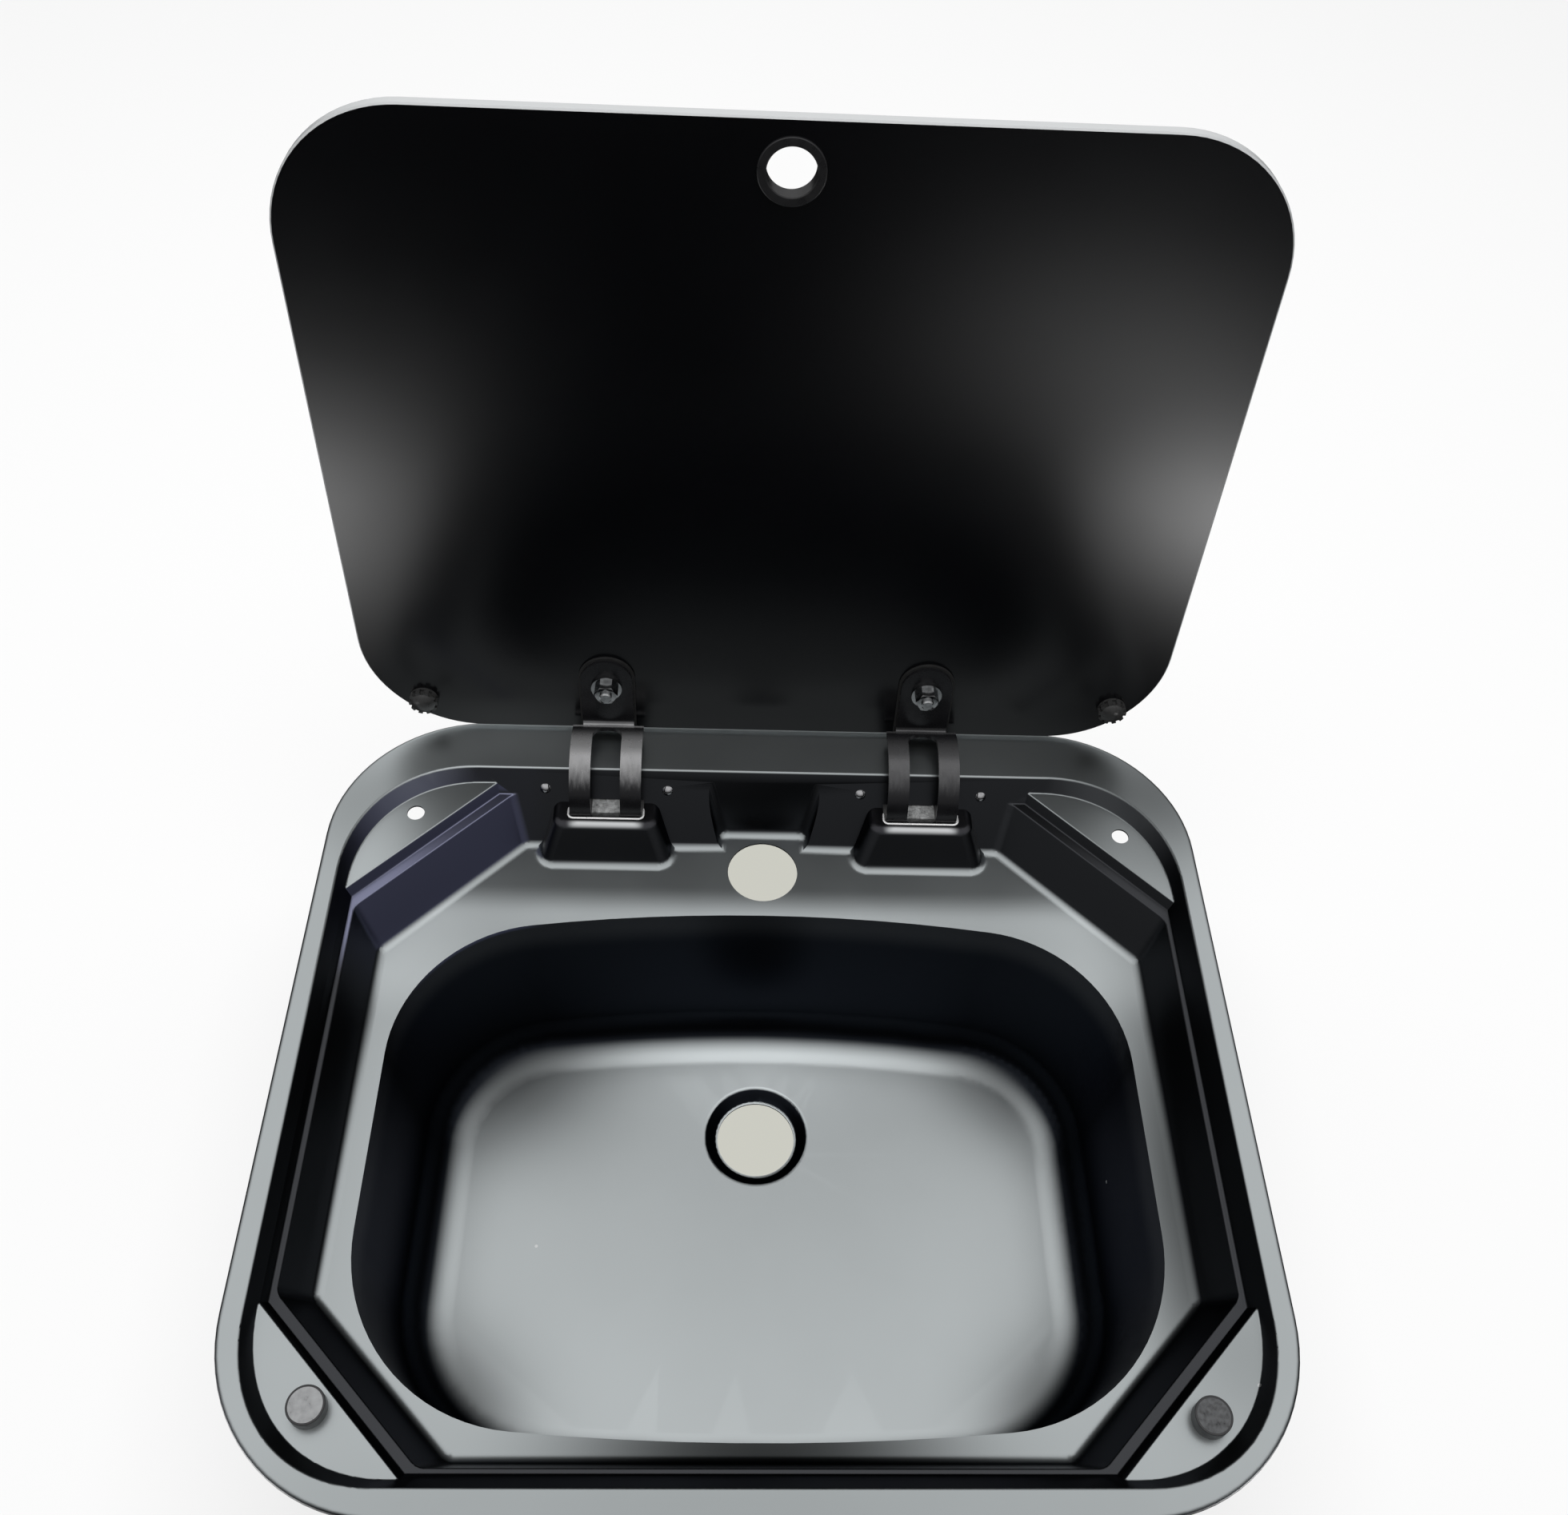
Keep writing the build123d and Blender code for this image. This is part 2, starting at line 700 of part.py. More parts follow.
# a curved sheet under each slot keeps splashes out of the cabinet
guard_radius = math.hypot(arm_radius + strap / 2 + rivet_head, arm_rivet_drop) + guard_clearance
guard_middle = guard_radius + guard_sheet / 2
guard_sweep = guard_end_angle - guard_start_angle
guard_front = pivot_point(guard_middle, guard_start_angle)
box_slope = (box_top_front - box_base_front) / (deck_depth - box_top_depth)
guard_lip_y = (
    box_top_front
    - box_slope * (level(box_top_depth) - guard_front[1] + guard_sheet / 2)
    + sheet * math.hypot(1, box_slope)
    + guard_sheet * box_slope
    + fastener_clearance
)
for name, side in sides.items():
    with BuildPart() as splash_guard:
        with BuildSketch(Plane.YZ.offset(side * hinge_offset - guard_half_width)):
            with BuildLine():
                Line((guard_lip_y, guard_front[1]), guard_front)
                CenterArc((pivot_y, pivot_z), guard_middle, guard_start_angle, guard_sweep)
            trace(line_width=guard_sheet)
        extrude(amount=2 * guard_half_width)
    export(splash_guard.part, "splash_guard_" + name)

with BuildPart() as pin_clips:
    for side in sides.values():
        pivot = (side * hinge_offset, pivot_y, pivot_z)
        inside = pin_radius - pin_groove + fastener_clearance
        add(ring(pivot, (side, 0, 0), inside, clip_radius, -clip_outer, -clip_inner))
export(pin_clips.part, "pin_clips")

with BuildPart() as hinge_washers:
    for side in sides.values():
        pivot = (side * hinge_offset, pivot_y, pivot_z)
        for direction in (-1, 1):
            start = knuckle_width / 2 + side_clearance
            add(
                ring(
                    pivot, (direction, 0, 0), pin_radius + fastener_clearance, knuckle_hub_radius,
                    start, start + washer_thickness,
                )
            )
export(hinge_washers.part, "hinge_washers")

with BuildPart() as bracket_rivets:
    for point in rivet_points:
        grip = sheet_across_wall + bracket_sheet
        add(dome(point, (0, -wall_out[1], -wall_out[2]), rivet_head_radius, rivet_head))
        add(rod(point, wall_out, rivet_radius, 0, grip))
        add(rod(point, wall_out, rivet_head_radius, grip, grip + rivet_tail))
export(bracket_rivets.part, "bracket_rivets")


# --- glass lid --------------------------------------------------------------------------------
toward_user = (0, off_lid[0], off_lid[1])


def on_lid(x, v):
    """World point on the inner face of the glass."""
    return (x, *lid_point(v, 0))


def tab_outline(grow, bottom, centre):
    """Strap plate seen square to the glass: straight sides and a half-round top."""
    round_v = arm_plate_top - arm_plate_width / 2
    half_width = arm_plate_width / 2 + grow
    with BuildSketch() as tab:
        with Locations((centre, (bottom + round_v) / 2)):
            Rectangle(2 * half_width, round_v - bottom)
        with Locations((centre, round_v)):
            Circle(half_width)
    return tab.sketch


bolt_places = {name: (side * hinge_offset, arm_bolt_v) for name, side in sides.items()}
glass_hole = finger_hole_radius + grommet_wall + fastener_clearance
with BuildPart() as glass_lid:
    with BuildSketch(lid_plane):
        with Locations((0, glass_depth / 2)):
            RectangleRounded(glass_width, glass_depth, glass_corner)
    extrude(amount=-glass_thickness)
    across = Axis(lid_plane.origin, lid_plane.z_dir)
    both_faces = glass_lid.faces().filter_by(lid_plane)
    chamfer(both_faces.edges(), glass_edge)
    with BuildSketch(lid_plane):
        with Locations((0, finger_hole_v)):
            Circle(glass_hole)
        with Locations(*bolt_places.values()):
            Circle(bolt_hole_radius)
    extrude(amount=-glass_thickness, mode=Mode.SUBTRACT)
export(glass_lid.part, "glass_lid")

with BuildPart() as finger_grommet:
    grommet_profile = [
        (finger_hole_radius, grommet_flange),
        (grommet_flange_radius, grommet_flange),
        (grommet_flange_radius, 0),
        (finger_hole_radius + grommet_wall, 0),
        (finger_hole_radius + grommet_wall, -glass_thickness),
        (grommet_flange_radius, -glass_thickness),
        (grommet_flange_radius, -glass_thickness - grommet_flange),
        (finger_hole_radius, -glass_thickness - grommet_flange),
    ]
    add(turned(on_lid(0, finger_hole_v), toward_user, grommet_profile))
    by_size = finger_grommet.edges().filter_by(GeomType.CIRCLE).group_by(SortBy.RADIUS)
    lips = by_size[0] + by_size[-1].sort_by(across)[0:1] + by_size[-1].sort_by(across)[-1:]
    fillet(lips, grommet_round)
export(finger_grommet.part, "finger_grommet")

for name, (side_inset, bumper_v) in bumper_insets.items():
    base = on_lid(sides[name] * (glass_width / 2 - side_inset), bumper_v)
    with BuildPart() as lid_bumper:
        shoulder = foot_height - bumper_crown
        add(rod(base, toward_user, bumper_radius, 0, bumper_base))
        add(rod(base, toward_user, bumper_radius - bumper_groove, bumper_base, shoulder))
        with BuildSketch(Plane(origin=base, x_dir=(1, 0, 0), z_dir=toward_user).offset(bumper_base)):
            with PolarLocations(bumper_radius - bumper_groove, bumper_teeth):
                Rectangle(2 * bumper_groove, bumper_tooth_width)
        extrude(amount=shoulder - bumper_base)
        cap_base = Vector(*base) + Vector(*toward_user) * shoulder
        add(dome(cap_base, toward_user, bumper_radius - bumper_groove, bumper_crown))
    export(lid_bumper.part, "lid_bumper_" + name)


# --- hinge arms -------------------------------------------------------------------------------
strap_middle = arm_gasket + strap / 2
to_edge = (lid_point(0, strap_middle)[0] - pivot_y, lid_point(0, strap_middle)[1] - pivot_z)
along_lid = to_edge[0] * up_lid[0] + to_edge[1] * up_lid[1]
fold_v = math.sqrt(along_lid**2 + arm_radius**2 - to_edge[0] ** 2 - to_edge[1] ** 2) - along_lid
fold = lid_point(fold_v, strap_middle)
fold_angle = math.degrees(math.atan2(fold[1] - pivot_z, fold[0] - pivot_y))
window_start_angle = fold_angle + math.degrees((arm_bend + window_start) / arm_radius)
window_end_angle = 180 + math.degrees(window_foot / arm_radius)
tail_angle = window_end_angle + math.degrees(arm_tail / arm_radius)
arm_rivet_places = [
    (side * hinge_offset + spread, pivot_y - arm_radius, pivot_z - arm_rivet_drop)
    for side in sides.values()
    for spread in (-arm_rivet_spread, arm_rivet_spread)
]
arm_rivet_holes = [
    rod(point, (0, 1, 0), rivet_radius + fastener_clearance, -strap, strap + arm_rivet_length)
    for point in arm_rivet_places
]


def window_cut(centre):
    """Space between the fork legs: a curved slot with a rounded top."""
    inner = arm_radius - strap
    outer = arm_radius + strap
    sweep_angle = window_end_angle - window_start_angle
    with BuildPart() as cut:
        with BuildSketch(Plane.YZ.offset(centre - window_width / 2)):
            with BuildLine():
                near = CenterArc((pivot_y, pivot_z), inner, window_start_angle, sweep_angle)
                far = CenterArc((pivot_y, pivot_z), outer, window_start_angle, sweep_angle)
                Line(near @ 0, far @ 0)
                Line(near @ 1, far @ 1)
            make_face()
        extrude(amount=window_width)
        radial = cut.edges().filter_by(GeomType.LINE).filter_by(Axis.X, reverse=True)
        by_height = radial.sort_by(Axis.Z)
        fillet(by_height[-2:], window_corner)
        fillet(by_height[:2], window_foot_corner)
    return cut.part


for name, side in sides.items():
    centre = side * hinge_offset
    plate_tab = tab_outline(0, -arm_plate_top, centre)
    window = window_cut(centre)
    bolt_base = on_lid(centre, arm_bolt_v)
    bolt_bore = rod(bolt_base, toward_user, bolt_radius + fastener_clearance, 0, 2 * nut_height)
    with BuildPart() as hinge_arm:
        with BuildSketch(Plane.YZ.offset(centre - arm_width / 2)):
            with BuildLine() as strap_line:
                Line(lid_point(arm_plate_top, strap_middle), fold)
                CenterArc((pivot_y, pivot_z), arm_radius, fold_angle, tail_angle - fold_angle)
                fillet(strap_line.vertices().sort_by_distance(Vector(*fold))[0], arm_bend)
            trace(line_width=strap)
        extrude(amount=arm_width)
        with BuildSketch(lid_plane):
            with Locations((centre, 0)):
                Rectangle(2 * arm_width, 4 * arm_plate_top)
            add(plate_tab, mode=Mode.SUBTRACT)
        extrude(amount=arm_gasket + strap + arm_shoulder, mode=Mode.SUBTRACT)
        add(window, mode=Mode.SUBTRACT)
        add(bolt_bore, mode=Mode.SUBTRACT)
        add(arm_rivet_holes, mode=Mode.SUBTRACT)
    export(hinge_arm.part, "hinge_arm_" + name)

    gasket_tab = tab_outline(arm_gasket_margin, gasket_start, centre)
    with BuildPart() as arm_gasket_pad:
        with BuildSketch(lid_plane):
            add(gasket_tab)
            with Locations((centre, arm_bolt_v)):
                Circle(bolt_radius + fastener_clearance, mode=Mode.SUBTRACT)
        extrude(amount=arm_gasket)
    export(arm_gasket_pad.part, "arm_gasket_" + name)

    pivot = (centre, pivot_y, pivot_z)
    hub_bore = rod(pivot, (1, 0, 0), bush_radius + fastener_clearance, -knuckle_width, knuckle_width)
    with BuildPart() as hinge_knuckle:
        with BuildSketch(Plane.YZ.offset(centre - knuckle_width / 2)):
            with Locations((pivot_y, pivot_z)):
                Circle(knuckle_hub_radius)
            with BuildLine():
                Polyline(
                    (pivot_y - arm_radius, pivot_z + knuckle_top),
                    (pivot_y, pivot_z + knuckle_top),
                    (pivot_y, pivot_z - knuckle_hub_radius),
                    (pivot_y - arm_radius / 2, pivot_z - knuckle_bottom),
                    (pivot_y - arm_radius, pivot_z - knuckle_bottom),
                    close=True,
                )
            make_face()
            with Locations((pivot_y, pivot_z)):
                Circle(arm_radius - strap / 2 - fastener_clearance, mode=Mode.INTERSECT)
        extrude(amount=knuckle_width)
        add(hub_bore, mode=Mode.SUBTRACT)
        add(arm_rivet_holes, mode=Mode.SUBTRACT)
    export(hinge_knuckle.part, "hinge_knuckle_" + name)

with BuildPart() as arm_rivets:
    for point in arm_rivet_places:
        head = Vector(*point) - Vector(0, strap / 2, 0)
        add(dome(head, (0, -1, 0), arm_rivet_head_radius, rivet_head))
        add(rod(head, (0, 1, 0), rivet_radius, 0, strap + arm_rivet_length))
export(arm_rivets.part, "arm_rivets")

with BuildPart() as knuckle_bushes:
    for side in sides.values():
        pivot = (side * hinge_offset, pivot_y, pivot_z)
        bore = pin_radius + pin_clearance
        add(ring(pivot, (1, 0, 0), bore, bush_radius, -knuckle_width / 2, knuckle_width / 2))
export(knuckle_bushes.part, "knuckle_bushes")


# --- fasteners through the glass --------------------------------------------------------------
washer_start = arm_gasket + strap
nut_start = washer_start + lid_washer
bolt_end = nut_start + nut_height + bolt_tip
gasket_back = -glass_thickness - disc_gasket
disc_back = gasket_back - clamp_disc

for name, place in bolt_places.items():
    base = on_lid(*place)
    with BuildPart() as lid_bolt:
        add(rod(base, toward_user, bolt_head_radius, disc_back - bolt_head, disc_back))
        fillet(lid_bolt.faces().sort_by(across)[0].edges(), bolt_head / 2)
        add(rod(base, toward_user, bolt_radius, disc_back, bolt_end))
        chamfer(lid_bolt.faces().sort_by(across)[-1].edges(), bolt_chamfer)
        head_plane = Plane(origin=base, x_dir=(1, 0, 0), z_dir=toward_user).offset(disc_back - bolt_head)
        with BuildSketch(head_plane):
            RegularPolygon(hex_key / 2, 6, major_radius=False)
        extrude(amount=hex_key / 2, mode=Mode.SUBTRACT)
    export(lid_bolt.part, "lid_bolt_" + name)

    with BuildPart() as clamp_washer:
        bore = bolt_radius + fastener_clearance
        add(ring(base, toward_user, bore, clamp_disc_radius, disc_back, gasket_back))
        back_edges = clamp_washer.faces().filter_by(lid_plane).sort_by(across)[0].outer_wire().edges()
        fillet(back_edges, clamp_disc / 2)
    export(clamp_washer.part, "clamp_disc_" + name)

with BuildPart() as disc_gaskets:
    for place in bolt_places.values():
        bore = bolt_radius + fastener_clearance
        add(ring(on_lid(*place), toward_user, bore, disc_gasket_radius, gasket_back, -glass_thickness))
export(disc_gaskets.part, "disc_gaskets")

with BuildPart() as lid_washers:
    for place in bolt_places.values():
        bore = bolt_radius + fastener_clearance
        add(ring(on_lid(*place), toward_user, bore, lid_washer_radius, washer_start, nut_start))
export(lid_washers.part, "lid_washers")

nut_corner = nut_flats / math.sqrt(3)
nut_forms = []
for place in bolt_places.values():
    base = on_lid(*place)
    with BuildPart() as nut:
        with BuildSketch(Plane(origin=base, x_dir=(1, 0, 0), z_dir=toward_user).offset(nut_start)):
            RegularPolygon(nut_flats / 2, 6, major_radius=False)
            Circle(bolt_radius + fastener_clearance, mode=Mode.SUBTRACT)
        extrude(amount=nut_height)
        cone = turned(
            base,
            toward_user,
            [
                (0, nut_start),
                (nut_corner, nut_start),
                (nut_corner, nut_start + nut_height - nut_chamfer),
                (nut_corner - 2 * nut_chamfer, nut_start + nut_height),
                (0, nut_start + nut_height),
            ],
        )
        add(cone, mode=Mode.INTERSECT)
    nut_forms.append(nut.part)
with BuildPart() as lid_nuts:
    add(nut_forms)
export(lid_nuts.part, "lid_nuts")
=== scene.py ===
# Caravan sink with a folding glass lid, dressed for a studio picture.
import json
import math
import bpy
import numpy as np
from mathutils import Matrix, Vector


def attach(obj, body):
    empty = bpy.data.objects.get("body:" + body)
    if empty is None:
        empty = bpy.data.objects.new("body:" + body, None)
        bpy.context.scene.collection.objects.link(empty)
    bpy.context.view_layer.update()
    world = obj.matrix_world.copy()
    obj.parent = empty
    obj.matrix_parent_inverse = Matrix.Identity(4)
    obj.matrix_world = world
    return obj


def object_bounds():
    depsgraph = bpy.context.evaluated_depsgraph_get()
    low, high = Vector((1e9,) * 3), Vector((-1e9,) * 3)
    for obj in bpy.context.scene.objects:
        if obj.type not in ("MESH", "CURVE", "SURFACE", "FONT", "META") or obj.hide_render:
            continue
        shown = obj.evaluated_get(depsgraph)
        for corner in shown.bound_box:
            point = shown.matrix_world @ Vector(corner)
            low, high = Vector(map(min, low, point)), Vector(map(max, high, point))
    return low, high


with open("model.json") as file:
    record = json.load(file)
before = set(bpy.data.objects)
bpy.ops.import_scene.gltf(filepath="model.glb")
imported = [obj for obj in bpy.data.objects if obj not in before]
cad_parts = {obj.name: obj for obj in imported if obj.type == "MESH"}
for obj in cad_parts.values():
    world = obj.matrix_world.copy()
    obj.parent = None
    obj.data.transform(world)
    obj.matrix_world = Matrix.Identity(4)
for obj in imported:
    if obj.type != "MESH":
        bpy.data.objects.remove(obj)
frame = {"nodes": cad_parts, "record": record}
nodes = frame["nodes"]
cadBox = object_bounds()
print("frame loaded:", len(nodes), "nodes")

camera = {
    "place": (-0.0206, -0.2959, 0.5866),  # metres
    "pitch": 51.73,  # degrees down from level
    "roll": -2.33,
    "turn": 1.20,
    "lens": 33.81,
    "sensor": 36.0,
    "nearest": 0.01,
}


def cameraAxes(pitch, roll, turn):
    # rows are the camera's right, down and forward directions
    x, y, z = (math.radians(a) for a in (pitch, roll, turn))
    level = Matrix(((1, 0, 0), (0, 0, -1), (0, 1, 0)))
    return Matrix.Rotation(z, 3, "Z") @ Matrix.Rotation(y, 3, "Y") @ Matrix.Rotation(x, 3, "X") @ level


def makeCamera():
    data = bpy.data.cameras.new("photoCamera")
    data.lens = camera["lens"]
    data.sensor_width = camera["sensor"]
    data.clip_start = camera["nearest"]
    eye = bpy.data.objects.new("photoCamera", data)
    bpy.context.scene.collection.objects.link(eye)
    right, down, ahead = cameraAxes(camera["pitch"], camera["roll"], camera["turn"])
    turned = Matrix((right, -down, -ahead)).transposed().to_4x4()
    eye.matrix_world = Matrix.Translation(camera["place"]) @ turned
    bpy.context.scene.camera = eye


makeCamera()

studio = {
    "floorDrop": 0.0012,  # under the lowest point, metres
    "floorSize": 6.0,
    "floorColour": (0.86, 0.86, 0.86),
    "floorGlow": 0.72,  # how much of the floor's white needs no light
    "floorMirror": 0.02,  # what shiny surfaces see of it away from the bright patches
    # bright patches that the glass mirrors: x, y, radius, strength
    "patches": ((0.408, -0.31, 0.086, 13.0), (-0.42, -0.27, 0.13, 7.9), (0.39, -0.66, 0.18, 2.0)),
    # pale card on the floor, seen through the drain and the tap hole, glowing in a fixed tone that also
    # paints the shade under the sink: x, y, radius, share before its fade
    "shadedCard": (0.60, 0.60, 0.54),
    "shadedCardPlaces": ((0.0, 0.027, 0.030, 0.85), (0.004, 0.193, 0.034, 0.72)),
    "softboxPlace": (0.0, 0.35, 1.9),
    "softboxSize": (2.0, 1.7),
    "softboxPower": 45.0,
    "roomGrey": 0.30,
    "ceiling": 1.0,  # brightness that metal mirrors from overhead
    "horizon": 0.35,  # and from the sides
    "horizonEnds": (0.15, 0.75),  # heights between which the one becomes the other
}
white = (1.0, 1.0, 1.0, 1.0)


def link(tree, source, target):
    tree.links.new(source, target)


def shaderNode(tree, kind, **inputs):
    node = tree.nodes.new(kind)
    for name, value in inputs.items():
        node.inputs[name].default_value = value
    return node


def mathNode(tree, operation, *values):
    node = tree.nodes.new("ShaderNodeMath")
    node.operation = operation
    for socket, value in zip(node.inputs, values):
        if isinstance(value, (int, float)):
            socket.default_value = value
        else:
            link(tree, value, socket)
    return node.outputs[0]


def vectorNode(tree, operation, value, fixed):
    node = tree.nodes.new("ShaderNodeVectorMath")
    node.operation = operation
    link(tree, value, node.inputs[0])
    node.inputs[1].default_value = fixed
    return node.outputs


def softRange(tree, value, low, high, atLow, atHigh):
    # atLow up to low, atHigh from high on, smooth between
    node = tree.nodes.new("ShaderNodeMapRange")
    node.interpolation_type = "SMOOTHSTEP"
    node.inputs["From Min"].default_value = low
    node.inputs["From Max"].default_value = high
    node.inputs["To Min"].default_value = atLow
    node.inputs["To Max"].default_value = atHigh
    link(tree, value, node.inputs["Value"])
    return node.outputs["Result"]


def axesOf(tree, output):
    apart = tree.nodes.new("ShaderNodeSeparateXYZ")
    link(tree, output, apart.inputs[0])
    return apart.outputs


def mixShaders(tree, factor, first, second):
    mix = tree.nodes.new("ShaderNodeMixShader")
    link(tree, factor, mix.inputs[0])
    link(tree, first, mix.inputs[1])
    link(tree, second, mix.inputs[2])
    return mix.outputs[0]


def seenDirectly(tree, path):
    return mathNode(tree, "MAXIMUM", path["Is Camera Ray"], path["Is Transmission Ray"])


def makeWorld():
    # white to the camera and through holes, graded for mirrors, even for all else
    world = bpy.data.worlds.new("studioRoom")
    bpy.context.scene.world = world
    world.use_nodes = True
    tree = world.node_tree
    tree.nodes.clear()
    out = tree.nodes.new("ShaderNodeOutputWorld")
    path = tree.nodes.new("ShaderNodeLightPath").outputs
    way = axesOf(tree, tree.nodes.new("ShaderNodeTexCoord").outputs["Generated"])
    grade = softRange(tree, way["Z"], *studio["horizonEnds"], studio["horizon"], studio["ceiling"])
    room = shaderNode(tree, "ShaderNodeBackground", Strength=studio["roomGrey"], Color=white)
    mirrored = shaderNode(tree, "ShaderNodeBackground", Color=white)
    link(tree, grade, mirrored.inputs["Strength"])
    plain = shaderNode(tree, "ShaderNodeBackground", Color=white)
    shiny = mixShaders(tree, path["Is Glossy Ray"], room.outputs[0], mirrored.outputs[0])
    link(tree, mixShaders(tree, seenDirectly(tree, path), shiny, plain.outputs[0]), out.inputs["Surface"])


def makeSoftbox():
    lamp = bpy.data.lights.new("ceilingSoftbox", "AREA")
    lamp.shape = "RECTANGLE"
    lamp.size, lamp.size_y = studio["softboxSize"]
    lamp.energy = studio["softboxPower"]
    holder = bpy.data.objects.new("ceilingSoftbox", lamp)
    holder.location = studio["softboxPlace"]
    holder.visible_camera = False
    holder.visible_glossy = False
    bpy.context.scene.collection.objects.link(holder)


def floorPaint(z):
    # pale, with its shadow, to the camera; dark with a few bright patches to whatever mirrors it
    paint = bpy.data.materials.new("paleFloor")
    paint.use_nodes = True
    tree = paint.node_tree
    tree.nodes.clear()
    out = tree.nodes.new("ShaderNodeOutputMaterial")
    path = tree.nodes.new("ShaderNodeLightPath").outputs
    place = tree.nodes.new("ShaderNodeTexCoord").outputs["Object"]
    share = mathNode(tree, "MULTIPLY", seenDirectly(tree, path), studio["floorGlow"])
    matte = shaderNode(tree, "ShaderNodeBsdfDiffuse", Color=(*studio["floorColour"], 1))
    glow = tree.nodes.new("ShaderNodeEmission")
    shadedCard = shaderNode(tree, "ShaderNodeEmission", Color=(*studio["shadedCard"], 1))
    asSeen = mixShaders(tree, share, matte.outputs[0], glow.outputs[0])
    # the card glows in a fixed tone, a painted shade of the floor under the sink, fading at its edge
    for x, y, radius, plain in studio["shadedCardPlaces"]:
        away = vectorNode(tree, "DISTANCE", place, (x, y, z))["Value"]
        near = softRange(tree, away, plain * radius, radius, 1.0, 0.0)
        asSeen = mixShaders(tree, near, asSeen, shadedCard.outputs[0])
    # strength = floorMirror + sum of strength * exp(-(distance / radius)^2)
    total = studio["floorMirror"]
    for x, y, radius, strength in studio["patches"]:
        away = vectorNode(tree, "DISTANCE", place, (x, y, z))["Value"]
        ratio = mathNode(tree, "DIVIDE", away, radius)
        square = mathNode(tree, "MULTIPLY", ratio, ratio)
        fall = mathNode(tree, "EXPONENT", mathNode(tree, "MULTIPLY", square, -1.0))
        total = mathNode(tree, "ADD", mathNode(tree, "MULTIPLY", fall, strength), total)
    mirrored = tree.nodes.new("ShaderNodeEmission")
    link(tree, total, mirrored.inputs["Strength"])
    link(tree, mixShaders(tree, path["Is Glossy Ray"], asSeen, mirrored.outputs[0]), out.inputs["Surface"])
    return paint


def makeFloor():
    half = studio["floorSize"] / 2
    z = cadBox[0][2] - studio["floorDrop"]
    mesh = bpy.data.meshes.new("studioFloor")
    corners = [(-half, -half, z), (half, -half, z), (half, half, z), (-half, half, z)]
    mesh.from_pydata(corners, [], [(0, 1, 2, 3)])
    mesh.materials.append(floorPaint(z))
    floor = bpy.data.objects.new("studioFloor", mesh)
    bpy.context.scene.collection.objects.link(floor)


makeWorld()
makeSoftbox()
makeFloor()
bpy.context.scene.view_settings.view_transform = "Standard"
print("camera, light and floor made")

